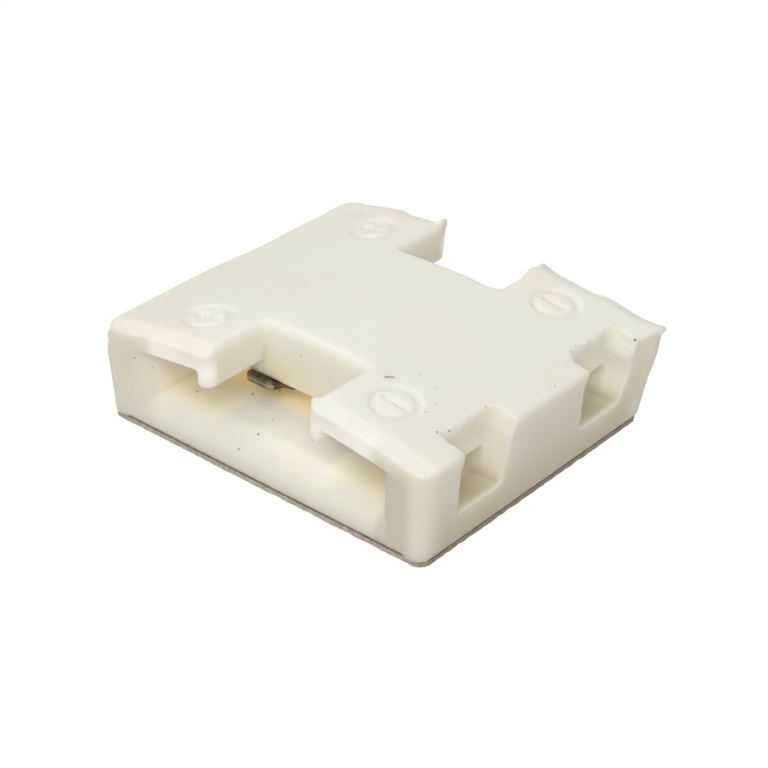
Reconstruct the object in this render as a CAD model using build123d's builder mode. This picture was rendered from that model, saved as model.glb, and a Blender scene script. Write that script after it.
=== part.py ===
# Two-pole push-in connector that joins two flat LED strips end to end.
# Units are millimetres. X runs across the strips, Y along them, Z up.
# The origin is the centre of the underside, on the face that rests on a bench.
import math
import os

from build123d import *

# The strip that goes in
strip_width = 10.0
strip_side_clearance = 0.15

# Outline of the moulding
side_wall = 2.35
bridge_length = 7.3
tab_length = 2.85
corner_radius = 0.7
draft_angle = 4.5
shoulder_height = 3.8
crown_rise = 0.86
shoulder_radius = 0.2

# Layers under the moulding
liner_thickness = 0.18
liner_inset = 0.04
pad_thickness = 0.17
pad_recess_depth = 0.1
pad_recess_edge = 0.75
pad_clearance = 0.06

# Slot between floor and bridge
floor_thickness = 1.3
slot_height = 0.85

# Mouth at each end
tab_thickness = 0.86
tab_bevel_length = 0.6
tab_bevel_drop = 0.22
notch_width = 4.54
notch_corner_radius = 0.3
rib_thickness = 0.5
rib_clearance = 1.43
mouth_radius = 1.05
tab_corner_radius = 0.35

# Cut-outs in the right side wall
scallop_length = 2.3
scallop_depth = 1.05
scallop_centre = 3.37
scallop_draft = 5.0
scallop_corner_radius = 0.3
scallop_ledge_drop = 0.2
window_length = 2.25
window_height = 1.2
window_corner_radius = 0.25

# Polarity marks sunk in the tabs
mark_inset_x = 3.2
mark_inset_y = 2.1
mark_radius = 0.9
mark_bar_length = 1.1
mark_line = 0.22
mark_depth = 0.1

# Spring contacts
contact_pitch = 4.4
contact_width = 1.5
contact_thickness = 0.18
contact_bend_radius = 0.3
contact_flat_setback = 1.0
contact_land_width = 1.9
contact_land_length = 1.6
contact_floor_gap = 0.12
contact_low_inset = 0.9
contact_tip_inset = 0.1
contact_tip_reach = 0.37
contact_tip_drop = 0.16
contact_corner_radius = 0.4
pocket_depth = 0.3
pocket_end_wall = 1.0
pocket_clearance = 0.02

# Sizes that follow from the ones above
slot_half = strip_width / 2 + strip_side_clearance
half_width = slot_half + side_wall
half_bridge = bridge_length / 2
half_length = half_bridge + tab_length
body_width = 2 * half_width
body_length = 2 * half_length
pad_top = liner_thickness + pad_thickness
wall_bottom = pad_top - pad_recess_depth
floor_top = pad_top + floor_thickness
ceiling = floor_top + slot_height
crown_top = shoulder_height + crown_rise
crown_radius = (half_width**2 + crown_rise**2) / (2 * crown_rise)
crown_axis = crown_top - crown_radius
rib_bottom = floor_top + rib_clearance
ledge_height = floor_top - scallop_ledge_drop
scallop_lean = (crown_top - ledge_height) * math.tan(math.radians(scallop_draft))
base_shrink = (shoulder_height - wall_bottom) * math.tan(math.radians(draft_angle))
base_width = body_width - 2 * base_shrink
base_length = body_length - 2 * base_shrink
base_corner_radius = corner_radius - base_shrink
pad_recess_width = base_width - 2 * pad_recess_edge
beyond = 2.0


def crown_cylinder(depth_below_crown):
    """The crowned top as a long cylinder lying along Y, sunk by the given depth."""
    with BuildPart() as cylinder:
        with BuildSketch(Plane.XZ):
            with Locations((0, crown_axis)):
                Circle(crown_radius - depth_below_crown)
        extrude(amount=body_length, both=True)
    return cylinder.part


# Two long cones about the crown's axis, whose sides bevel the ends of the tabs
bevel_slope = tab_bevel_drop / tab_bevel_length
with BuildPart() as bevel_form:
    with BuildSketch(Plane.YZ):
        with BuildLine():
            outer_end = half_length + beyond
            Polyline(
                (-outer_end, crown_axis),
                (-outer_end, crown_top - bevel_slope * (tab_bevel_length + beyond)),
                (0, crown_top + bevel_slope * (half_length - tab_bevel_length)),
                (outer_end, crown_top - bevel_slope * (tab_bevel_length + beyond)),
                (outer_end, crown_axis),
                close=True,
            )
        make_face()
    revolve(axis=Axis((0, 0, crown_axis), (0, 1, 0)))

# Core that shapes the slot under the bridge and the mouth under the tabs
with BuildPart() as slot_core:
    with BuildSketch(Plane.XZ):
        with Locations((0, (floor_top + crown_top) / 2)):
            Rectangle(2 * slot_half, crown_top - floor_top)
    extrude(amount=half_length + beyond, both=True)
    # The tabs keep their thickness under the crown, and the bridge its flat ceiling
    add(crown_cylinder(tab_thickness), mode=Mode.INTERSECT)
    with BuildSketch(Plane.XY.offset(ceiling)):
        Rectangle(2 * slot_half, bridge_length)
    extrude(amount=crown_top - ceiling, mode=Mode.SUBTRACT)
    # Guide ribs hang from the tabs, beside the notch
    with BuildSketch(Plane.XZ):
        for side in (-1, 1):
            with Locations((side * (notch_width + rib_thickness) / 2, (rib_bottom + crown_top) / 2)):
                Rectangle(rib_thickness, crown_top - rib_bottom)
    extrude(amount=half_length + beyond, both=True, mode=Mode.SUBTRACT)

# Notch at each end, open to the top
with BuildPart() as notches:
    with BuildSketch(Plane.XY.offset(floor_top)):
        with GridLocations(0, 2 * half_length, 1, 2):
            notch = Rectangle(notch_width, 2 * tab_length)
        fillet(notch.vertices(), notch_corner_radius)
    extrude(amount=crown_top - floor_top)

# Scallops in one side wall, open to the top and down to a ledge, wider at the top
with BuildPart() as scallops:
    with BuildSketch(Plane.YZ.offset(half_width - scallop_depth)):
        with GridLocations(2 * scallop_centre, 0, 2, 1):
            scallop = Polygon(
                (-scallop_length / 2, ledge_height),
                (scallop_length / 2, ledge_height),
                (scallop_length / 2 + scallop_lean, crown_top),
                (-scallop_length / 2 - scallop_lean, crown_top),
                align=None,
            )
    extrude(amount=2 * scallop_depth)
    fillet(scallops.edges().group_by(Axis.X)[0], scallop_corner_radius)

# Grooves of the polarity marks, plus on the left tabs and minus on the right ones
mark_x = half_width - mark_inset_x
mark_y = half_length - mark_inset_y
with BuildPart() as mark_grooves:
    with BuildSketch(Plane.XY.offset(shoulder_height - crown_rise)):
        with GridLocations(2 * mark_x, 2 * mark_y, 2, 2):
            Circle(mark_radius)
            Circle(mark_radius - mark_line, mode=Mode.SUBTRACT)
            Rectangle(mark_bar_length, mark_line)
        with Locations((-mark_x, -mark_y), (-mark_x, mark_y)):
            Rectangle(mark_line, mark_bar_length)
    extrude(amount=3 * crown_rise)
    add(crown_cylinder(mark_depth), mode=Mode.SUBTRACT)


def in_mouth_outline(edge):
    """True for the edges round a mouth, where the slot's floor and walls meet the end faces."""
    middle = edge.center()
    at_end = abs(middle.Y) > half_length - tab_length / 2
    on_floor = abs(middle.Z - floor_top) < contact_floor_gap
    on_wall = abs(abs(middle.X) - slot_half) < strip_side_clearance and middle.Z > floor_top
    return at_end and (on_floor or on_wall)


def in_tab_corner(edge):
    """True for the upright edges where the notch's walls meet the end faces."""
    middle = edge.center()
    at_end = abs(middle.Y) > half_length - tab_length / 2
    on_notch_wall = abs(abs(middle.X) - notch_width / 2) < strip_side_clearance
    upright = edge.bounding_box().size.Z > tab_thickness
    return at_end and on_notch_wall and upright


# One-piece moulded housing
with BuildPart() as housing:
    # Block with drafted walls, cut to the crowned top
    with BuildSketch(Plane.XY.offset(wall_bottom)):
        RectangleRounded(base_width, base_length, base_corner_radius)
    extrude(amount=crown_top - wall_bottom, taper=-draft_angle)
    add(crown_cylinder(0), mode=Mode.INTERSECT)
    fillet(housing.edges().filter_by(Axis.Y).group_by(Axis.Z)[-1], shoulder_radius)
    # Slot, with a rounded lead all round each mouth
    add(slot_core.part, mode=Mode.SUBTRACT)
    fillet(housing.edges().filter_by(in_mouth_outline), mouth_radius)
    # Notches that leave two tabs at each end, then the bevel on the tabs
    add(notches.part, mode=Mode.SUBTRACT)
    fillet(housing.edges().filter_by(in_tab_corner), tab_corner_radius)
    add(bevel_form.part, mode=Mode.INTERSECT)
    add(scallops.part, mode=Mode.SUBTRACT)
    # Windows from the scallops through to the slot
    with BuildSketch(Plane.YZ.offset(slot_half)):
        with GridLocations(2 * scallop_centre, 0, 2, 1):
            with Locations((0, ledge_height + window_height / 2)):
                window = Rectangle(window_length, window_height)
        fillet(window.vertices().group_by(Axis.Y)[-1], window_corner_radius)
    extrude(amount=side_wall, mode=Mode.SUBTRACT)
    # Recess in the underside for the adhesive pad
    with BuildSketch(Plane.XY.offset(wall_bottom)):
        Rectangle(pad_recess_width, body_length)
    extrude(amount=pad_recess_depth, mode=Mode.SUBTRACT)
    # Pockets in the ceiling that hold the spring contacts
    with BuildSketch(Plane.XY.offset(ceiling)):
        with GridLocations(contact_pitch, 0, 2, 1):
            Rectangle(contact_land_width + 2 * pocket_clearance, bridge_length - 2 * pocket_end_wall)
    extrude(amount=pocket_depth, mode=Mode.SUBTRACT)
    add(mark_grooves.part, mode=Mode.SUBTRACT)

housing.part.label = "housing"

# Spring contact, one bent strip along Y with a land that sits in its pocket
flat_y = half_bridge - pocket_end_wall - contact_flat_setback
flat_z = ceiling + pocket_depth - contact_thickness / 2
low_y = half_bridge - contact_low_inset
low_z = floor_top + contact_floor_gap + contact_thickness / 2
tip_y = half_bridge + contact_tip_reach
tip_z = ceiling - contact_tip_drop


def spring_contact(centre_x):
    """One contact, bowed down to a low point near each mouth, with a flat tongue at each tip."""
    with BuildPart() as contact:
        with BuildSketch(Plane.YZ.offset(centre_x - contact_width / 2)):
            with BuildLine():
                FilletPolyline(
                    (-tip_y, tip_z),
                    (-half_bridge + contact_tip_inset, tip_z),
                    (-low_y, low_z),
                    (-flat_y, flat_z),
                    (flat_y, flat_z),
                    (low_y, low_z),
                    (half_bridge - contact_tip_inset, tip_z),
                    (tip_y, tip_z),
                    radius=contact_bend_radius,
                )
                offset(amount=contact_thickness / 2, side=Side.BOTH, closed=True)
            make_face()
        extrude(amount=contact_width)
        # The tongues end square, with rounded corners
        with BuildSketch(Plane.XY.offset(floor_top)):
            with Locations((centre_x, 0)):
                RectangleRounded(contact_width, 2 * tip_y, contact_corner_radius)
        extrude(amount=crown_top - floor_top, mode=Mode.INTERSECT)
        with BuildSketch(Plane.XY.offset(flat_z - contact_thickness / 2)):
            with Locations((centre_x, 0)):
                Rectangle(contact_land_width, contact_land_length)
        extrude(amount=contact_thickness)
    return contact.part


contact_positive = spring_contact(-contact_pitch / 2)
contact_positive.label = "contact_positive"
contact_negative = spring_contact(contact_pitch / 2)
contact_negative.label = "contact_negative"

# Double-sided adhesive pad in the recess
with BuildPart() as adhesive_pad:
    with BuildSketch(Plane.XY.offset(liner_thickness)):
        Rectangle(pad_recess_width - 2 * pad_clearance, base_length - 2 * pad_clearance)
    extrude(amount=pad_thickness)
adhesive_pad.part.label = "adhesive_pad"

# Peelable paper that protects the adhesive
with BuildPart() as release_liner:
    with BuildSketch():
        RectangleRounded(
            base_width - 2 * liner_inset,
            base_length - 2 * liner_inset,
            base_corner_radius - liner_inset,
        )
    extrude(amount=liner_thickness)
release_liner.part.label = "release_liner"

os.makedirs("parts", exist_ok=True)
for piece in (housing.part, contact_positive, contact_negative, adhesive_pad.part, release_liner.part):
    export_step(piece, f"parts/{piece.label}.step")
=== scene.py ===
# %% [markdown]
# # A push-in connector for LED strips
#
# The object is a 15 mm wide moulding of milky nylon that joins two flat light strips end to end.
# Its real shape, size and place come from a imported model, the frame, which is never changed here.
# This lesson gives that frame its looks: milky nylon that glows in its hollows, soft moulded
# edges and polarity marks, flash, dust, dull spring contacts, and the adhesive and paper layers.
# All coordinates are in metres, with the origin under the middle of the body.

# %% Load the frame
import math

import bmesh
import bpy
from mathutils import Matrix, Vector
from mathutils.bvhtree import BVHTree


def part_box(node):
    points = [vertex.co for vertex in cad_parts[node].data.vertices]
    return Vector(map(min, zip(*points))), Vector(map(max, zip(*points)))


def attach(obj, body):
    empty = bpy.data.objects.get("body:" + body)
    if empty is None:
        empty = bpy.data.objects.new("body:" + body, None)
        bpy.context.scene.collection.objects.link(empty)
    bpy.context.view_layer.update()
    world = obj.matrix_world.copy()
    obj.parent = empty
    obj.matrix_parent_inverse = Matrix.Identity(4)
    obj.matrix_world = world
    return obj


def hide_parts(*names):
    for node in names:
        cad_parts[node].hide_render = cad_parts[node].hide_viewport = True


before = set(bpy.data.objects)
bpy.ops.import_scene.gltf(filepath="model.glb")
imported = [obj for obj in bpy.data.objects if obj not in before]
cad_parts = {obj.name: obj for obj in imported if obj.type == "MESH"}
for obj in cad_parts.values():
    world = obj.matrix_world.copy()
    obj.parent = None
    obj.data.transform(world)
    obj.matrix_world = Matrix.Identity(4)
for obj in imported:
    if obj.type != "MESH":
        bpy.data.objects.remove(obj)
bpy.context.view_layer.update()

MM = 0.001
scene = bpy.context.scene
print("nodes:", sorted(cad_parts))
for name in sorted(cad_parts):
    low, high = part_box(name)
    print(f"{name}: {[round(x / MM, 2) for x in high - low]} mm")

# %% [markdown]
# ## Camera
#
# The photograph looks down on one corner from close by, so the body shows some perspective.
# A camera is a place, a direction, a roll and a focal length. The direction is kept as azimuth and
# elevation around a target point on the bench, because those are the numbers that a person
# would turn on a tripod. The focal length is in image widths, then turned into a lens.

# %% Place the camera
camera_azimuth = math.radians(40.26)
camera_elevation = math.radians(31.70)
camera_roll = math.radians(-0.57)
camera_distance = 80.68 * MM
camera_target = Vector((-1.281, 1.65, 0)) * MM
focal_widths = 2171 / 768

towards_camera = Vector(
    (
        math.sin(camera_azimuth) * math.cos(camera_elevation),
        -math.cos(camera_azimuth) * math.cos(camera_elevation),
        math.sin(camera_elevation),
    )
)
right = Vector((0, 0, 1)).cross(towards_camera).normalized()
turn = Matrix.Rotation(-camera_roll, 3, towards_camera)
right = turn @ right
up = towards_camera.cross(right)

camera_data = bpy.data.cameras.new("camera")
camera_data.lens = focal_widths * camera_data.sensor_width
camera_data.clip_start = 1 * MM
camera = bpy.data.objects.new("camera", camera_data)
scene.collection.objects.link(camera)
camera.matrix_world = Matrix.Translation(camera_target + camera_distance * towards_camera) @ (
    Matrix((right, up, towards_camera)).transposed().to_4x4()
)
scene.camera = camera
print("camera at", [round(x / MM, 1) for x in camera.location], "mm, lens", round(camera_data.lens, 1))

# %% [markdown]
# ## Writing node trees as Python
#
# A shader or a geometry tree is a formula. Wiring each Math node by hand hides that formula,
# so one small class wraps a socket and lets + - * / build the Math nodes. Every other node
# comes from one method: its type, its settings, which are set first, and its inputs.

# %% A graph of sockets that takes part in sums
class Socket:
    """One output of a node, ready for use in an expression."""

    def __init__(self, graph, socket):
        self.graph = graph
        self.socket = socket

    def out(self, name):
        """Another output of the same node."""
        return Socket(self.graph, self.socket.node.outputs[name])

    def maths(self, operation, *values):
        return self.graph.node("ShaderNodeMath", {"operation": operation}, dict(enumerate(values)))

    def __add__(self, other):
        return self.maths("ADD", self, other)

    def __radd__(self, other):
        return self.maths("ADD", other, self)

    def __sub__(self, other):
        return self.maths("SUBTRACT", self, other)

    def __rsub__(self, other):
        return self.maths("SUBTRACT", other, self)

    def __mul__(self, other):
        return self.maths("MULTIPLY", self, other)

    def __rmul__(self, other):
        return self.maths("MULTIPLY", other, self)

    def __truediv__(self, other):
        return self.maths("DIVIDE", self, other)

    def __rtruediv__(self, other):
        return self.maths("DIVIDE", other, self)

    def __abs__(self):
        return self.maths("ABSOLUTE", self)

    def above(self, level):
        """1 where the value is over the level, else 0."""
        return self.maths("GREATER_THAN", self, level)

    def kept_in(self, low, high):
        """The value, kept between two limits."""
        raised = self.maths("MAXIMUM", self, low)
        return raised.maths("MINIMUM", raised, high)

    def ramp(self, low, high):
        """0 at low, 1 at high, and a smooth step between them."""
        values = {"Value": self, "From Min": low, "From Max": high}
        return self.graph.node("ShaderNodeMapRange", {"interpolation_type": "SMOOTHSTEP"}, values)

    def fall(self, low, high):
        """1 at low, 0 at high, and a smooth step between them."""
        return 1 - self.ramp(low, high)

    def bell(self, centre, half_width):
        """1 at the centre, smoothly down to 0 at half_width on each side."""
        return abs(self - centre).fall(0, half_width)


class Graph:
    """A node tree, shader or geometry, that is written as expressions."""

    def __init__(self, tree):
        self.tree = tree

    def node(self, kind, settings=None, values=None, output=0):
        node = self.tree.nodes.new(kind)
        for name, value in (settings or {}).items():
            if name == "stops":
                self.set_stops(node.color_ramp, value)
            else:
                setattr(node, name, value)
        for key, value in (values or {}).items():
            self.feed(node.inputs[key], value)
        return Socket(self, node.outputs[output]) if node.outputs else node

    def feed(self, target, value):
        if isinstance(value, Socket):
            self.tree.links.new(value.socket, target)
        else:
            target.default_value = value

    def set_stops(self, ramp, stops):
        while len(ramp.elements) < len(stops):
            ramp.elements.new(0.5)
        for element, (place, colour) in zip(ramp.elements, stops):
            element.position = place
            element.color = colour

    def split(self, vector):
        """The X, Y and Z of a vector, as three sockets."""
        parts = self.node("ShaderNodeSeparateXYZ", None, {0: vector})
        return parts, parts.out("Y"), parts.out("Z")

    def vector(self, operation, *values, output=0):
        """A Vector Math node. Output 1 is the number that a dot product or a distance gives."""
        return self.node("ShaderNodeVectorMath", {"operation": operation}, dict(enumerate(values)), output)

    def stretch(self, vector, factor):
        """A vector made longer or shorter by a number."""
        return self.node("ShaderNodeVectorMath", {"operation": "SCALE"}, {0: vector, "Scale": factor})


print("graph helpers ready")


# %% A material, and a look at how its colours are written
def srgb(red, green, blue):
    """A colour as it is read off a screen, 0 to 255, turned into the linear values a shader takes."""
    linear = []
    for channel in (red, green, blue):
        c = channel / 255
        linear.append(c / 12.92 if c <= 0.04045 else ((c + 0.055) / 1.055) ** 2.4)
    return (*linear, 1.0)


def new_material(name):
    """An empty material with its graph, its Principled shader and the piece's own coordinates."""
    material = bpy.data.materials.new(name)
    material.use_nodes = True
    tree = material.node_tree
    graph = Graph(tree)
    shader = tree.nodes["Principled BSDF"]
    where = graph.node("ShaderNodeTexCoord", None, None, "Object")
    return material, graph, shader, where


print("a mid grey is", [round(c, 3) for c in srgb(128, 128, 128)[:3]])

# %% [markdown]
# ## Milky nylon
#
# Unfilled nylon lets light in, scatters it for about half a millimetre and turns it slightly
# yellow, so no edge looks hard. Paint on a hard surface can't do that, so the Principled shader
# gets subsurface scattering. Its radius is a constant on the shader's own socket.
# The colour drifts between a cool greenish white and a warm pinkish white, a few millimetres
# across, as uneven cooling leaves it. The bump has two sizes: slow sink marks and fine mould grain.

# %% Helpers for surfaces
def noise(graph, where, size_mm, detail=2.0, roughness=0.5):
    """Noise whose blotches are about size_mm across."""
    values = {"Vector": where, "Scale": 1 / (size_mm * MM), "Detail": detail, "Roughness": roughness}
    return graph.node("ShaderNodeTexNoise", None, values)


def mix(graph, amount, first, second):
    """A colour between two colours."""
    values = {"Factor": amount, 6: first, 7: second}
    return graph.node("ShaderNodeMix", {"data_type": "RGBA"}, values, 2)


def bump(graph, height, strength, depth_mm, under=None):
    """Small dents that follow a height pattern, on top of another bump if one is given."""
    values = {"Strength": strength, "Distance": depth_mm * MM, "Height": height}
    if under:
        values["Normal"] = under
    return graph.node("ShaderNodeBump", None, values)


def in_mm(graph, where):
    """X, Y and Z of a place in millimetres, as three sockets."""
    return graph.split(graph.stretch(where, 1 / MM))


def dress(graph, shader, colour, roughness, normal=None):
    """Feeds the inputs of a shader that change over the surface."""
    graph.feed(shader.inputs["Base Color"], colour)
    graph.feed(shader.inputs["Roughness"], roughness)
    if normal:
        graph.feed(shader.inputs["Normal"], normal)


print("surface helpers ready")

# %% Make the nylon
blotch_size = 4.0
sink_size = 1.2
sheen_size = 0.7
grain_size = 0.09
smoothest = 0.34
sheen_spread = 0.2
scatter_depth = 0.6
scatter_by_channel = (1.0, 0.96, 0.84)
nylon_ior = 1.5

nylon, graph, shader, where = new_material("milky_nylon")
blotch = noise(graph, where, blotch_size).ramp(0.42, 0.66)
colour = mix(graph, blotch, srgb(243, 244, 232), srgb(244, 240, 228))
sheen = smoothest + sheen_spread * noise(graph, where, sheen_size)
sink = bump(graph, noise(graph, where, sink_size), 0.35, 0.05)
mould_grain = bump(graph, noise(graph, where, grain_size, detail=3.0), 0.5, 0.004, under=sink)
shader.inputs["Subsurface Weight"].default_value = 1.0
shader.inputs["Subsurface Radius"].default_value = scatter_by_channel
shader.inputs["Subsurface Scale"].default_value = scatter_depth * MM
shader.inputs["IOR"].default_value = nylon_ior
print("nylon scatters red light over", scatter_depth, "mm")

# %% [markdown]
# ## Painted light and shade on the nylon, and its specks
#
# These tints paint light and shade into the nylon's colour: painted shade at the thick foot of
# the right wall, on the ends of the walls and on the scallops' ledges, painted warm shade at the
# foot of the notch, painted warm light in the hollows, where light has come through nylon more
# than once, painted light on the ends of the floor and painted cool light on the top of the near
# right tab. Only the fine specks are the nylon's own. These places follow the shape of the
# moulding, so each is written as ranges along X, Y and Z, in millimetres, that fade smoothly
# into their surroundings. They hold from every side.
# The tints and their shares are given, so they describe this moulding and no other.

# %% Name the places
across, along, height = in_mm(graph, where)
under_bridge = abs(along).fall(3.5, 3.9)
under_tabs = abs(across).ramp(2.2, 2.7) * abs(along).fall(5.2, 6.3)
in_slot = abs(across).fall(5.3, 5.7) * height.bell(1.8, 0.8)
painted_warm_hollows = under_bridge.maths("MAXIMUM", under_bridge, under_tabs) * in_slot
deep_in_slot = abs(along).fall(3.0, 4.3) * in_slot * (1 - 0.45 * across.ramp(0.3, 2.3))
wall_foot_shade = across.ramp(5.6, 6.6) * height.fall(0.2, 2.6)
wall_foot_shade = wall_foot_shade * along.ramp(-6.0, -5.2) * along.fall(4.6, 5.6)
at_ends = abs(along).ramp(6.0, 6.4)
in_walls = abs(across).ramp(4.9, 5.4)
wall_end_shade = at_ends * in_walls * height.fall(3.0, 3.8)
wall_end_shade = wall_end_shade * (1 - 0.8 * across.ramp(6.4, 6.9)) * (0.2 + 0.8 * across.above(0))
floor_end_light = at_ends * (1 - in_walls) * height.fall(1.4, 1.8)
notch_foot_shade = abs(along).bell(3.65, 0.3) * abs(across).fall(2.2, 2.5) * across.fall(-2.0, 1.5)
notch_foot_shade = notch_foot_shade * height.ramp(2.1, 2.5) * height.fall(2.4, 4.1)
scallops = across.ramp(5.3, 5.8) * across.fall(6.9, 7.2)
scallops = scallops * abs(along).bell(3.37, 1.6) * height.bell(2.3, 1.1)
ledges = across.ramp(5.8, 6.2) * across.fall(7.0, 7.3)
ledges = ledges * abs(along).bell(3.37, 1.7) * height.fall(1.45, 1.9)
near_tab_cool_light = across.ramp(0.5, 3.5) * along.fall(-6.0, -1.5) * height.ramp(3.8, 4.1)
tab_lips = abs(along).ramp(5.9, 6.2) * abs(across).fall(4.8, 5.4) * height.bell(3.65, 0.75)
print("places named in", len(graph.tree.nodes), "nodes")

# %% Paint light and shade on the places, and add specks
def layer(graph, colour, layers):
    """Lays colours over a colour, each with its mask, its share and its screen colour."""
    for mask, share, screen_colour in layers.values():
        colour = mix(graph, share * mask, colour, srgb(*screen_colour))
    return colour


cell_size = 0.55
cells = graph.node("ShaderNodeTexVoronoi", None, {"Vector": where, "Scale": 1 / (cell_size * MM)})
fine_specks = cells.fall(0.05, 0.11) * noise(graph, where, 0.5).above(0.62)
# Every row but the fine specks paints light or shade into the nylon's colour.
painted_light_and_specks = {
    # painted warm light in the hollows
    "painted_warm_hollows": (painted_warm_hollows, 1.0, (252, 242, 216)),
    # painted shade at the foot of the right wall
    "painted shade at the foot of the right wall": (wall_foot_shade, 0.8, (222, 211, 184)),
    # painted shade on the ends of the walls, stronger on the right
    "painted shade on the ends of the walls": (wall_end_shade, 0.85, (224, 218, 202)),
    # painted warm shade at the foot of the notch
    "painted warm shade at the foot of the notch": (notch_foot_shade, 0.8, (236, 218, 176)),
    # painted shade on the ledges low in the scallops
    "painted shade on the ledges of the scallops": (ledges, 0.8, (200, 191, 162)),
    # painted cool light on the top of the near right tab
    "painted cool light on the near right tab": (near_tab_cool_light, 0.5, (240, 242, 238)),
    # painted light on the ends of the floor
    "painted light on the ends of the floor": (floor_end_light, 1.0, (252, 246, 232)),
    "fine specks": (fine_specks, 0.6, (196, 188, 168)),
}
dress(graph, shader, layer(graph, colour, painted_light_and_specks), sheen, mould_grain)
print("tinted:", ", ".join(painted_light_and_specks))

# %% [markdown]
# ## Light that comes through the nylon
#
# The bridge, the tabs and the side wall are thin enough to pass some light, so the slot behind
# them glows: warm brown under the thick bridge, almost neutral at the lips of the tabs.
# Deeper scattering would carry that light, but it also drains the thin floor and blurs every
# edge. A weak emission in those places stands in for it, and the lamps still do the rest.
# It is a stand-in: it doesn't follow the lamps, so in a dark room it would go on glowing.

# %% Let the hollows glow
glows = {
    "under the tabs": (under_tabs * in_slot, 1.0, (75, 68, 62)),
    "under the bridge": (deep_in_slot, 1.15, (128, 104, 64)),
    "in the scallops": (scallops, 1.0, (108, 101, 86)),
    "lips of the tabs": (tab_lips, 1.0, (116, 119, 126)),
}
graph.feed(shader.inputs["Emission Color"], layer(graph, srgb(0, 0, 0), glows))
shader.inputs["Emission Strength"].default_value = 1.0
print("glowing:", ", ".join(glows))

# %% [markdown]
# ## Dull metal, grey adhesive and release paper
#
# The contacts are tinned bronze that has gone grey brown: a rough metal with darker clouds,
# but for the ends of the tongues, where the press sheared through to smoother metal and a painted
# highlight lightens the colour.
# The adhesive is a grey film with darker clouds, and the paper under it is a lighter grey with
# fine fibres, and painted shade makes it darker and browner at the right edge. Neither shows more
# than its cut edge, so the detail is finer than on the nylon.

# %% Make the metal
contact_metal, graph, shader, where = new_material("tinned_bronze")
_, along, _ = in_mm(graph, where)
tarnish = noise(graph, where, 0.35, detail=4.0).ramp(0.35, 0.7)
# The sheared ends of the tongues are smoother metal, and a painted highlight lightens their colour.
sheared_tip_glint = abs(along).ramp(3.96, 4.0)
metal_colour = mix(graph, tarnish, srgb(146, 136, 114), srgb(64, 56, 44))
metal_colour = mix(graph, 0.25 * sheared_tip_glint, metal_colour, srgb(214, 206, 186))
metal_dents = bump(graph, noise(graph, where, 0.12, detail=3.0), 0.5, 0.01)
dress(graph, shader, metal_colour, 0.24 + 0.3 * tarnish * (1 - sheared_tip_glint), metal_dents)
shader.inputs["Metallic"].default_value = 1.0
print("metal made")

# %% Make the adhesive, the paper and the dirt
adhesive_grey, graph, shader, where = new_material("grey_adhesive")
cloud = noise(graph, where, 0.3, detail=4.0)
adhesive_colour = mix(graph, cloud.ramp(0.3, 0.7), srgb(150, 143, 128), srgb(118, 110, 96))
dress(graph, shader, adhesive_colour, 0.5 + 0.2 * cloud, bump(graph, cloud, 0.6, 0.02))

liner_paper, graph, shader, where = new_material("release_paper")
across, _, _ = in_mm(graph, where)
fibres = noise(graph, where, 0.2, detail=5.0, roughness=0.7)
# Painted shade: the paper turns darker and browner towards the right edge.
right_edge_shade = across.ramp(6.6, 7.5)
paper_colour = mix(graph, fibres.ramp(0.35, 0.65), srgb(216, 209, 198), srgb(178, 168, 158))
paper_colour = mix(graph, 0.8 * right_edge_shade, paper_colour, srgb(134, 118, 94))
dress(graph, shader, paper_colour, 0.65 + 0.2 * fibres, bump(graph, fibres, 0.7, 0.02))

dirt, graph, shader, where = new_material("dirt")
shade = noise(graph, where, 0.5, detail=3.0)
dirt_colour = mix(graph, shade.ramp(0.35, 0.65), srgb(186, 177, 160), srgb(142, 128, 116))
dress(graph, shader, dirt_colour, 0.7 + 0.2 * shade)
print("materials:", [m.name for m in bpy.data.materials])

# %% [markdown]
# ## A working copy of the moulding
#
# The frame's moulding has the right form, but its edges are as sharp as a drawing's. A real
# moulding has a small radius on every edge, also where a round corner of the notch meets the
# crowned top. Bevels on such a mesh fail where many edges meet. A voxel remesh doesn't
# care: it rebuilds the skin as an even net of small squares, and a few rounds of smoothing
# then round every edge alike. The copy is worked on in millimetres, because the remesh
# has a least voxel size that is too large in metres.

# %% Helpers for a working copy
seam_reach = 0.0005


def merged_copy(node, name):
    """A copy of a frame node with its seams merged, one unit to a millimetre."""
    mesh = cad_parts[node].data.copy()
    form = bmesh.new()
    form.from_mesh(mesh)
    bmesh.ops.scale(form, vec=(1 / MM, 1 / MM, 1 / MM), verts=form.verts)
    bmesh.ops.remove_doubles(form, verts=form.verts, dist=seam_reach)
    form.to_mesh(mesh)
    form.free()
    mesh.materials.clear()
    piece = bpy.data.objects.new(name, mesh)
    scene.collection.objects.link(piece)
    return piece


def settle(piece):
    """Replaces a piece's mesh by what its modifiers make of it, and removes them."""
    graph_of_scene = bpy.context.evaluated_depsgraph_get()
    result = bpy.data.meshes.new_from_object(piece.evaluated_get(graph_of_scene))
    piece.modifiers.clear()
    piece.data = result
    return result


def soften(piece, rounds, group=""):
    """Rounds a piece's edges, all of them or only those in a vertex group."""
    smooth = piece.modifiers.new("soften", "SMOOTH")
    smooth.factor = 0.5
    smooth.iterations = rounds
    smooth.vertex_group = group


print("working copy helpers ready")

# %% Remesh and soften
voxel = 0.05
edge_rounds = 4
housing = merged_copy("housing", "housing_moulding")
remesh = housing.modifiers.new("remesh", "REMESH")
remesh.mode = "VOXEL"
remesh.voxel_size = voxel
soften(housing, edge_rounds)
settle(housing)
print("softened moulding:", len(housing.data.polygons), "faces")

# %% [markdown]
# ## Soft marks
#
# On the real part the grooves of the plus and minus marks are shallow and have no crisp rim, as a
# worn or roughly cut mould would leave them. The points round each mark go in a vertex group,
# and more rounds of the same smoothing run on that group alone.

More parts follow.
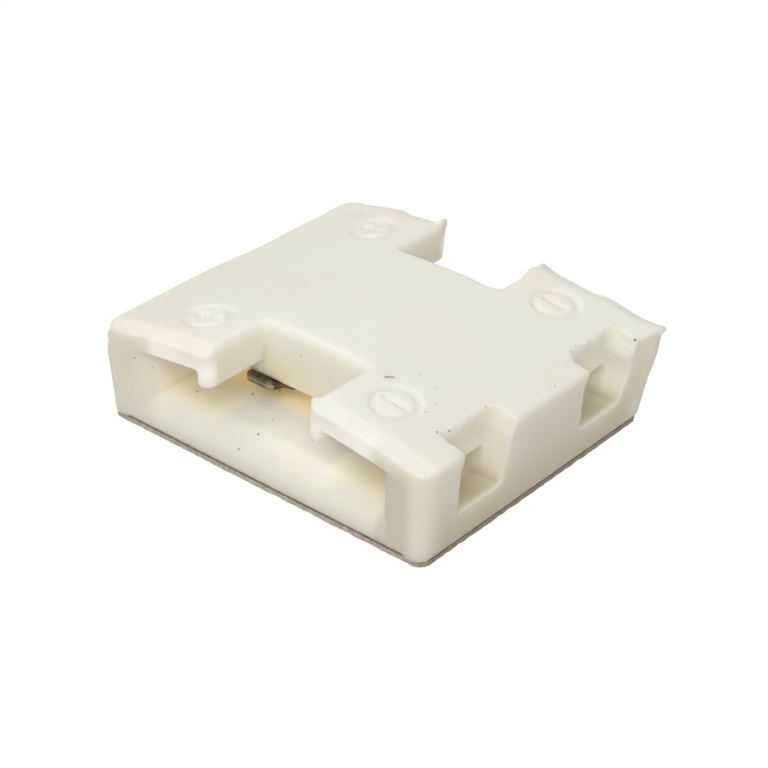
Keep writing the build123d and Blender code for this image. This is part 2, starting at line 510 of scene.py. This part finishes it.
# %% Soften the marks
mark_x = 4.3
mark_y = 4.44
mark_reach = 1.2
tops = 3.9
mark_rounds = 8
near_marks = [
    vertex.index
    for vertex in housing.data.vertices
    if vertex.co.z > tops
    and abs(abs(vertex.co.x) - mark_x) < mark_reach
    and abs(abs(vertex.co.y) - mark_y) < mark_reach
]
housing.vertex_groups.new(name="marks").add(near_marks, 1.0, "REPLACE")
soften(housing, mark_rounds, group="marks")
settle(housing)
housing.vertex_groups.clear()
print("points at the marks:", len(near_marks))

# %% [markdown]
# ## Skin and flash
#
# A moulding that shrinks in its mould ripples slightly, and where the mould's halves meet, nylon
# creeps into the gap and leaves flash: lips, spikes and ragged edges, here on the tabs' corners
# and round the scallops. Separate little fins would show a seam in a translucent body, so a
# geometry tree pulls the skin itself. Each place is a short line, and what lies within reach of
# it moves in one direction, by an amount that noise makes more or less uneven. Long reaches with
# no noise fill out three of the body's corners and dip or lift the edge of a tab. The body also
# leans: its front stands upright and its back slopes, so the tree slides each level along Y.

# %% Helpers for geometry trees
def new_tree(name, inputs):
    """An empty geometry tree with named number inputs. Returns its graph, input node and output node."""
    tree = bpy.data.node_groups.new(name, "GeometryNodeTree")
    tree.interface.new_socket("Geometry", in_out="INPUT", socket_type="NodeSocketGeometry")
    tree.interface.new_socket("Geometry", in_out="OUTPUT", socket_type="NodeSocketGeometry")
    for label, value in inputs.items():
        kind = "NodeSocketInt" if isinstance(value, int) else "NodeSocketFloat"
        socket = tree.interface.new_socket(label, in_out="INPUT", socket_type=kind)
        socket.default_value = value
    graph = Graph(tree)
    return graph, graph.node("NodeGroupInput"), tree.nodes.new("NodeGroupOutput")


def finish_tree(graph, geometry, material, target):
    """Realizes instances, sets the material and wires the result out."""
    real = graph.node("GeometryNodeRealizeInstances", None, {"Geometry": geometry})
    done = graph.node("GeometryNodeSetMaterial", None, {"Geometry": real, "Material": material})
    graph.feed(target.inputs[0], done)


def run_tree(piece, graph, values):
    """Runs a tree on a piece with some inputs changed, and keeps the result as its mesh."""
    modifier = piece.modifiers.new(graph.tree.name, "NODES")
    modifier.node_group = graph.tree
    for item in graph.tree.interface.items_tree:
        if item.in_out == "INPUT" and item.name in values:
            modifier[item.identifier] = values[item.name]
    piece.update_tag()
    return settle(piece)


print("tree helpers ready")

# %% [markdown]
# Each row of the table has the start and end of a line, the way it pulls, how far it pulls, its
# reach and its ragged share, all in millimetres but the way and the share.

# %% Where the flash is
flash = {
    "spike on the back left tab": (
        (-2.45, 6.2, 4.5), (-2.4, 6.35, 4.5), (0.1, 0.5, 0.85), 0.34, 0.32, 0.3,
    ),
    "fin on the back right tab": ((2.25, 5.2, 4.6), (2.3, 5.6, 4.6), (-0.4, 0.0, 1.0), 0.36, 0.3, 0.2),
    "outer half of that fin": ((2.3, 5.7, 4.6), (2.35, 6.4, 4.5), (-0.4, 0.3, 1.0), 0.18, 0.24, 0.3),
    "low edge of the back right tab": (
        (3.0, 6.4, 4.4), (4.4, 6.4, 4.3), (0.0, -0.4, -1.0), 0.15, 0.9, 0.0,
    ),
    "high edge of the back left tab": (
        (-6.6, 6.4, 4.0), (-4.8, 6.4, 4.2), (0.0, 0.5, 1.0), 0.13, 0.95, 0.0,
    ),
    "back left corner": ((-7.25, 6.3, 1.2), (-7.15, 6.25, 3.8), (-0.3, 1.0, 0.0), 0.24, 0.7, 0.0),
    "left shoulder, far end": ((-7.3, 1.6, 3.8), (-7.3, 6.3, 3.8), (1.0, 0.0, -0.2), 0.15, 3.4, 0.0),
    "left corner": ((-7.45, -6.45, 0.5), (-7.35, -6.4, 2.7), (-1.0, -0.3, 0.0), 0.24, 0.8, 0.0),
    "far right corner": ((7.4, 6.4, 0.5), (7.25, 6.25, 3.7), (0.8, 0.6, 0.0), 0.24, 0.7, 0.0),
    "far right corner, upper end": ((7.3, 6.35, 2.7), (7.25, 6.3, 3.8), (0.8, 0.6, 0.0), 0.1, 1.1, 0.0),
    "rag on the bridge": ((0.2, 3.65, 4.66), (1.3, 3.65, 4.64), (0.1, 0.8, 0.6), 0.16, 0.2, 0.9),
    "lip at the far corner": ((7.45, 5.3, 3.78), (7.35, 6.35, 3.72), (1.0, 0.2, 0.0), 0.16, 0.24, 0.4),
    "spur at the far corner": ((7.4, 6.35, 3.72), (7.3, 6.4, 3.72), (0.8, 0.6, 0.2), 0.2, 0.28, 0.3),
    "burr on the front right tab": (
        (2.3, -6.2, 4.5), (2.35, -6.1, 4.55), (-0.7, -0.3, 0.6), 0.24, 0.24, 0.4,
    ),
    "bump at the left corner": (
        (-7.35, -6.2, 3.3), (-7.35, -6.0, 3.1), (-1.0, -0.4, -0.1), 0.14, 0.3, 0.3,
    ),
    "front scallop, near lip": ((6.5, -4.72, 4.0), (7.45, -4.72, 3.75), (0.0, 1.0, 0.0), 0.24, 0.6, 0.3),
    "front scallop, inner lip": (
        (6.45, -4.4, 4.02), (6.45, -2.2, 4.02), (-1.0, 0.0, 0.0), 0.07, 0.25, 0.9,
    ),
    "front scallop, far lip": ((6.5, -2.0, 4.0), (7.45, -2.0, 3.75), (0.0, 1.0, 0.0), 0.16, 0.6, 0.3),
    "front scallop, spur": ((6.45, -4.55, 4.0), (6.5, -4.5, 4.0), (-0.9, -0.4, 0.2), 0.2, 0.25, 0.3),
    "back scallop, near lip": ((6.5, 2.0, 4.0), (7.45, 2.0, 3.75), (0.0, 1.0, 0.0), 0.26, 0.6, 0.3),
    "back scallop, lobe": ((6.45, 2.2, 4.05), (6.55, 2.2, 4.0), (0.3, 1.0, 0.0), 0.22, 0.4, 0.2),
    "back scallop, inner lip": ((6.45, 2.2, 4.02), (6.45, 4.6, 4.02), (-1.0, 0.0, 0.0), 0.09, 0.25, 0.9),
    "back scallop, far lip": ((6.5, 4.75, 4.0), (7.45, 4.75, 3.75), (0.0, 1.0, 0.0), 0.32, 0.8, 0.2),
    "back scallop, far wall": ((6.5, 4.5, 2.6), (7.45, 4.5, 2.6), (0.0, 1.0, 0.0), 0.25, 1.0, 0.0),
}
print("places with flash:", len(flash))

# %% Ripple the skin and pull the flash
skin_sizes = {
    "Ripple Size": 1.4,
    "Ripple Height": 0.022,
    "Rag Size": 0.4,
    "Lean": 0.07,
    "Level Height": 3.8,
}
graph, given, result = new_tree("skin_and_flash", skin_sizes)
place = graph.node("GeometryNodeInputPosition")
ripple = graph.node(
    "ShaderNodeTexNoise", None, {"Vector": place, "Scale": 1 / given.out("Ripple Size"), "Detail": 1.0}
)
skin_normal = graph.node("GeometryNodeInputNormal")
shift = graph.stretch(skin_normal, (ripple - 0.5) * given.out("Ripple Height"))
rag = graph.node(
    "ShaderNodeTexNoise", None, {"Vector": place, "Scale": 1 / given.out("Rag Size"), "Detail": 2.0}
)
rag = rag.ramp(0.35, 0.65)
_, _, z = graph.split(place)
lean = graph.node("ShaderNodeCombineXYZ", None, {"Y": (z - given.out("Level Height")) * given.out("Lean")})
shift = graph.vector("ADD", shift, lean)
for start, end, way, height, reach, ragged in flash.values():
    run = Vector(end) - Vector(start)
    from_start = graph.vector("SUBTRACT", place, start)
    share = graph.vector("DOT_PRODUCT", from_start, run / run.length_squared, output=1).kept_in(0, 1)
    nearest = graph.vector("ADD", graph.stretch(run, share), start)
    apart = graph.vector("DISTANCE", place, nearest, output=1)
    pull = apart.bell(0, reach) * height * (1 - ragged + ragged * rag)
    shift = graph.vector("ADD", shift, graph.stretch(Vector(way).normalized(), pull))
pulled = graph.node("GeometryNodeSetPosition", None, {"Geometry": given, "Offset": shift})
finish_tree(graph, pulled, nylon, result)
run_tree(housing, graph, skin_sizes)
print("skin done on", len(housing.data.vertices), "points")

# %% [markdown]
# ## Fewer triangles
#
# The remesh spends as many faces on the flat top as on a rounded edge. Decimation merges faces
# where the skin is nearly flat and keeps them where it bends, so the edges stay as round.

# %% Thin the mesh and put it in its place
housing_triangles = 185000


def to_metres(piece):
    """Brings a piece that was made in millimetres to the frame's metres."""
    piece.data.transform(Matrix.Scale(MM, 4))


triangles = sum(len(f.vertices) - 2 for f in housing.data.polygons)
thin = housing.modifiers.new("thin", "DECIMATE")
thin.ratio = min(1.0, housing_triangles / triangles)
settle(housing)
for face in housing.data.polygons:
    face.use_smooth = True
to_metres(housing)
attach(housing, "root")
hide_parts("housing")
print("housing:", triangles, "triangles thinned to", len(housing.data.polygons))

# %% [markdown]
# ## Spring contacts
#
# Each contact is one strip of thin metal, bent down to a low point near each mouth, with a tongue
# that shows in the notch. The frame's node has the right bends but razor edges. Stamped metal has
# a small radius where the punch came in, so a copy gets a bevel on every sharp edge, which
# catches the light as a thin line. Nothing else would show at this size. Both are slid a tenth
# of a millimetre to the front, where the photograph shows the tip of the left one.

# %% Round the contacts' edges
punch_radius = 0.03
sharp_angle = math.radians(30)
contact_slide = 0.1
for node in ("contact_positive", "contact_negative"):
    contact = merged_copy(node, f"{node}_stamped")
    bevel = contact.modifiers.new("punch radius", "BEVEL")
    bevel.width = punch_radius
    bevel.segments = 2
    bevel.limit_method = "ANGLE"
    bevel.angle_limit = sharp_angle
    settle(contact)
    contact.data.transform(Matrix.Translation((0, -contact_slide, 0)))
    contact.data.materials.append(contact_metal)
    for face in contact.data.polygons:
        face.use_smooth = True
    contact.data.set_sharp_from_angle(angle=sharp_angle)
    to_metres(contact)
    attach(contact, "root")
    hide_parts(node)
    print(contact.name, len(contact.data.polygons), "faces")

# %% [markdown]
# ## Adhesive and release paper
#
# Both are sheets cut with a knife or a punch: flat above and below, with a cut edge that frays
# a little. One geometry tree makes any such sheet from its width, length and corner radius: it
# draws the outline, divides it finely, fills it, gives it its thickness and then frays it.
# The noise is read at each point's own place, so the upper and lower edges fray differently.
# On the real part they sit a little to the front and stick out at the left, so these do too.

# %% A tree that cuts a sheet
sheet_sizes = {
    "Width": 10.0,
    "Length": 10.0,
    "Corner": 0.4,
    "Base": 0.0,
    "Thickness": 0.2,
    "Fray Size": 0.3,
    "Fray Depth": 0.08,
}
graph, given, result = new_tree("cut_sheet", sheet_sizes)
outline = graph.node(
    "GeometryNodeCurvePrimitiveQuadrilateral",
    {"mode": "RECTANGLE"},
    {"Width": given.out("Width"), "Height": given.out("Length")},
)
outline = graph.node(
    "GeometryNodeFilletCurve",
    {"mode": "POLY"},
    {"Curve": outline, "Radius": given.out("Corner"), "Count": 6},
)
outline = graph.node("GeometryNodeResampleCurve", {"mode": "LENGTH"}, {"Curve": outline, "Length": 0.07})
face = graph.node("GeometryNodeFillCurve", {"mode": "TRIANGLES"}, {"Curve": outline})
rise = graph.node("ShaderNodeCombineXYZ", None, {"Z": given.out("Base")})
face = graph.node("GeometryNodeTransform", None, {"Geometry": face, "Translation": rise})
upper = graph.node(
    "GeometryNodeExtrudeMesh",
    {"mode": "FACES"},
    {"Mesh": face, "Offset": (0, 0, 1), "Offset Scale": given.out("Thickness"), "Individual": False},
)
lower = graph.node("GeometryNodeFlipFaces", None, {"Mesh": face})
both = graph.node("GeometryNodeJoinGeometry", None, {0: upper})
graph.feed(both.socket.node.inputs[0], lower)
sheet = graph.node("GeometryNodeMergeByDistance", None, {"Geometry": both, "Distance": 0.001})
place = graph.node("GeometryNodeInputPosition")
fray = graph.node(
    "ShaderNodeTexNoise", None, {"Vector": place, "Scale": 1 / given.out("Fray Size"), "Detail": 3.0}, 1
)
fray = graph.vector("MULTIPLY", graph.vector("SUBTRACT", fray, (0.5, 0.5, 0.5)), (1, 1, 0))
fray = graph.stretch(fray, given.out("Fray Depth"))
sheet = graph.node("GeometryNodeSetPosition", None, {"Geometry": sheet, "Offset": fray})
finish_tree(graph, sheet, liner_paper, result)
print("sheet tree has", len(graph.tree.nodes), "nodes")

# %% Cut the two sheets
sheet_slide = 0.18
sheet_spread = 0.2


def cut_sheet(node, name, corner, fray_size, fray_depth, material):
    """A frayed sheet in the place of a frame node, slid with the foot of the leaning body."""
    low, high = (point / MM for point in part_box(node))
    size = high - low
    piece = bpy.data.objects.new(name, bpy.data.meshes.new(name))
    scene.collection.objects.link(piece)
    values = {
        "Width": size.x + sheet_spread,
        "Length": size.y,
        "Base": low.z,
        "Thickness": size.z,
        "Corner": corner,
        "Fray Size": fray_size,
        "Fray Depth": fray_depth,
    }
    run_tree(piece, graph, values)
    piece.data.materials.clear()
    piece.data.materials.append(material)
    piece.data.transform(Matrix.Translation((-sheet_spread / 2, -sheet_slide, 0)))
    to_metres(piece)
    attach(piece, "root")
    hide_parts(node)
    print(name, len(piece.data.polygons), "faces,", [round(x, 2) for x in size], "mm")


cut_sheet(
    "release_liner",
    "release_paper_sheet",
    corner=0.45,
    fray_size=0.45,
    fray_depth=0.14,
    material=liner_paper,
)
cut_sheet(
    "adhesive_pad",
    "adhesive_sheet",
    corner=0.1,
    fray_size=0.25,
    fray_depth=0.08,
    material=adhesive_grey,
)

# %% [markdown]
# ## Dirt
#
# The moulding is clean but not spotless: specks of dirt lie on the floor of the notch, on the top
# and by the scallops, and a short fibre lies by the minus mark. Each speck is one lumpy grain,
# set by instancing on points, with a random turn. The points first go to the
# nearest place on the moulding's skin, so nothing hovers, seen from any side.

# %% Where the specks are: X, Y, Z and radius in millimetres
specks = (
    (-2.6, -3.97, 1.65, 0.04),
    (-2.02, -3.19, 1.65, 0.03),
    (-0.72, -5.69, 1.6, 0.038),
    (-1.08, -6.4, 1.2, 0.035),
    (-0.9, -4.75, 1.65, 0.028),
    (-4.18, -5.18, 1.65, 0.038),
    (-5.95, -6.4, 2.95, 0.03),
    (-5.43, -6.1, 2.6, 0.022),
    (-0.55, -3.65, 3.89, 0.026),
    (7.2, 0.55, 3.85, 0.028),
    (7.39, 5.0, 3.82, 0.045),
    (6.2, -4.5, 4.07, 0.036),
    (6.42, -4.1, 4.03, 0.028),
    (6.4, -2.2, 4.03, 0.028),
    (5.3, -4.0, 4.23, 0.022),
    (4.69, -2.77, 4.33, 0.02),
    (5.24, -3.43, 4.24, 0.022),
)
print("specks:", len(specks))

# %% Put a point on the skin for each speck
skin = BVHTree.FromPolygons(
    [vertex.co / MM for vertex in housing.data.vertices],
    [tuple(face.vertices) for face in housing.data.polygons],
)
dust_mesh = bpy.data.meshes.new("dirt_specks")
dust_mesh.from_pydata([skin.find_nearest(Vector(spot[:3]))[0] for spot in specks], [], [])
radii = dust_mesh.attributes.new("radius", "FLOAT", "POINT")
radii.data.foreach_set("value", [spot[3] for spot in specks])
dust = bpy.data.objects.new("dirt_specks", dust_mesh)
scene.collection.objects.link(dust)
print("points:", len(dust_mesh.vertices))

# %% Scatter the grains
graph, given, result = new_tree("scatter_grains", {"Lump Size": 1.0, "Lump Height": 0.9, "Seed": 4})
grain = graph.node("GeometryNodeMeshIcoSphere", None, {"Radius": 1.0, "Subdivisions": 3})
place = graph.node("GeometryNodeInputPosition")
lump = graph.node(
    "ShaderNodeTexNoise", None, {"Vector": place, "Scale": 1 / given.out("Lump Size"), "Detail": 1.0}
)
swell = graph.stretch(place, (lump - 0.5) * given.out("Lump Height"))
grain = graph.node("GeometryNodeSetPosition", None, {"Geometry": grain, "Offset": swell})
turn = graph.node(
    "FunctionNodeRandomValue",
    {"data_type": "FLOAT_VECTOR"},
    {"Min": (0, 0, 0), "Max": (math.tau, math.tau, math.tau), "Seed": given.out("Seed")},
)
turn = graph.node("FunctionNodeEulerToRotation", None, {0: turn})
radius = graph.node("GeometryNodeInputNamedAttribute", {"data_type": "FLOAT"}, {"Name": "radius"})
grains = graph.node(
    "GeometryNodeInstanceOnPoints",
    None,
    {"Points": given, "Instance": grain, "Rotation": turn, "Scale": radius},
)
finish_tree(graph, grains, dirt, result)
run_tree(dust, graph, {})
to_metres(dust)
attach(dust, "root")
print("grains with", len(dust.data.polygons), "faces")

# %% Lay the fibre
fibre_radius = 0.035
fibre_points = ((3.16, -3.56, 4.53), (3.25, -3.49, 4.53), (3.32, -3.41, 4.51), (3.42, -3.35, 4.5))
fibre_curve = bpy.data.curves.new("dirt_fibre", "CURVE")
fibre_curve.dimensions = "3D"
spline = fibre_curve.splines.new("NURBS")
spline.points.add(len(fibre_points) - 1)
for point, spot in zip(spline.points, fibre_points):
    point.co = (*skin.find_nearest(Vector(spot))[0], 1.0)
spline.order_u = 3
spline.use_endpoint_u = True
fibre_curve.bevel_depth = fibre_radius
fibre_curve.bevel_resolution = 3
fibre_curve.use_fill_caps = True
fibre_curve.resolution_u = 8
strand = bpy.data.objects.new("dirt_fibre", fibre_curve)
scene.collection.objects.link(strand)
fibre_mesh = bpy.data.meshes.new_from_object(strand.evaluated_get(bpy.context.evaluated_depsgraph_get()))
bpy.data.objects.remove(strand)
strand = bpy.data.objects.new("dirt_fibre", fibre_mesh)
scene.collection.objects.link(strand)
fibre_mesh.materials.clear()
fibre_mesh.materials.append(dirt)
to_metres(strand)
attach(strand, "root")
print("fibre:", len(fibre_mesh.polygons), "faces")

# %% [markdown]
# ## Floor, world and lamps
#
# The photograph is a bright studio shot on pure white: a large soft light beside the camera,
# a weaker one above from the left, and light all round from the white surroundings.
# The floor stays a plain pale surface that still takes the object's shadow. Only what the
# camera sees of it directly is lifted to white, by mixing in some plain white light.

# %% Lay the floor
floor_half = 2.0
floor_lift = 0.94
lift_strength = 1.05
corners = [(-1, -1), (1, -1), (1, 1), (-1, 1)]
floor_mesh = bpy.data.meshes.new("floor")
floor_mesh.from_pydata([(x * floor_half, y * floor_half, 0) for x, y in corners], [], [(0, 1, 2, 3)])
floor = bpy.data.objects.new("floor", floor_mesh)
scene.collection.objects.link(floor)

floor_white, graph, shader, where = new_material("floor_white")
graph.feed(shader.inputs["Base Color"], srgb(206, 198, 184))
shader.inputs["Roughness"].default_value = 0.8
shader.inputs["Specular IOR Level"].default_value = 0.0
rays = graph.node("ShaderNodeLightPath")
seen = rays.maths("MAXIMUM", rays.out("Is Camera Ray"), rays.out("Is Glossy Ray"))
seen = seen.maths("MAXIMUM", seen, rays.out("Is Transmission Ray"))
glow = graph.node("ShaderNodeEmission", None, {"Color": (1, 1, 1, 1), "Strength": lift_strength})
lifted = graph.node("ShaderNodeMixShader", None, {0: seen * floor_lift, 2: glow})
graph.tree.links.new(shader.outputs[0], lifted.socket.node.inputs[1])
graph.tree.links.new(lifted.socket, graph.tree.nodes["Material Output"].inputs[0])
floor_mesh.materials.append(floor_white)
print("floor:", 2 * floor_half, "m wide")

# %% Light the world
world_level = 0.39
world = bpy.data.worlds.new("studio")
scene.world = world
world.use_nodes = True
graph = Graph(world.node_tree)
background = world.node_tree.nodes["Background"]
rays = graph.node("ShaderNodeLightPath")
graph.feed(background.inputs["Color"], (1.0, 1.0, 1.0, 1.0))
graph.feed(background.inputs["Strength"], world_level + (1 - world_level) * rays.out("Is Camera Ray"))
print("world light:", world_level)


# %% Hang the lamps
def soft_lamp(name, direction, distance, size, power, colour=(1.0, 1.0, 1.0)):
    """A square soft lamp that looks at the object from a direction."""
    data = bpy.data.lights.new(name, "AREA")
    data.size = size
    data.energy = power
    data.color = colour
    lamp = bpy.data.objects.new(name, data)
    scene.collection.objects.link(lamp)
    direction = Vector(direction).normalized()
    lamp.location = direction * distance
    lamp.rotation_euler = direction.to_track_quat("Z", "Y").to_euler()


soft_lamp("overhead", (-0.6, 0.25, 1.0), distance=0.20, size=0.15, power=0.11)
soft_lamp(
    "key beside the camera",
    (0.34, -0.6, 0.7),
    distance=0.30,
    size=0.20,
    power=0.44,
    colour=(1.0, 0.98, 0.94),
)
scene.view_settings.view_transform = "Standard"
